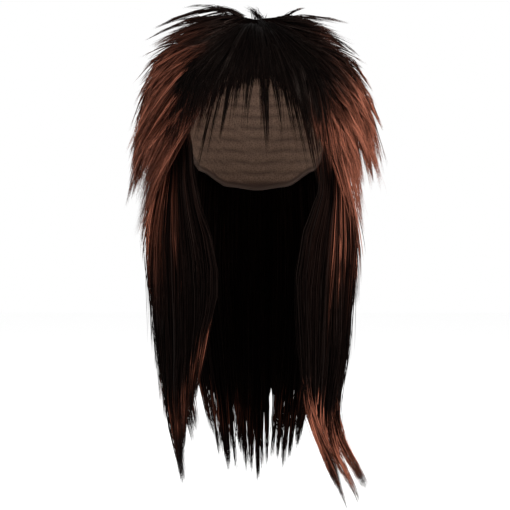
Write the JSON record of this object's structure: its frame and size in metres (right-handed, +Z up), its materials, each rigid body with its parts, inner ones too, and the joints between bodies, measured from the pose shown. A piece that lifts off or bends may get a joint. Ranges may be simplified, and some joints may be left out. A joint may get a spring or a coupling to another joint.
{
  "type": "long shag wig",
  "caption": "Long layered shag wig: spiky lifted crown, wispy fringe and long straight side and back lengths on an open cap that fits over a head.",
  "frame": {"origin": "inside the top of the cap, where the crown of the head bears", "axes": "+Z up, the face looks along -Y, +X to the viewer's right"},
  "size_m": [0.2519, 0.2446, 0.4906],
  "materials": {
    "cap_net": "matt elastic net with sewn wefts",
    "crown_hair": "straight glossy fibre, near black at the roots",
    "shag_hair": "straight glossy fibre, dark auburn towards the tips",
    "length_hair": "straight glossy fibre, black-brown with auburn streaks"
  },
  "bodies": {
    "root": {"cap": "cap_net", "crown_layer": "crown_hair", "fringe": "crown_hair", "shag_left": "shag_hair", "shag_right": "shag_hair", "shag_back": "shag_hair", "length_left": "length_hair", "length_right": "length_hair", "length_back": "length_hair"}
  },
  "joints": []
}
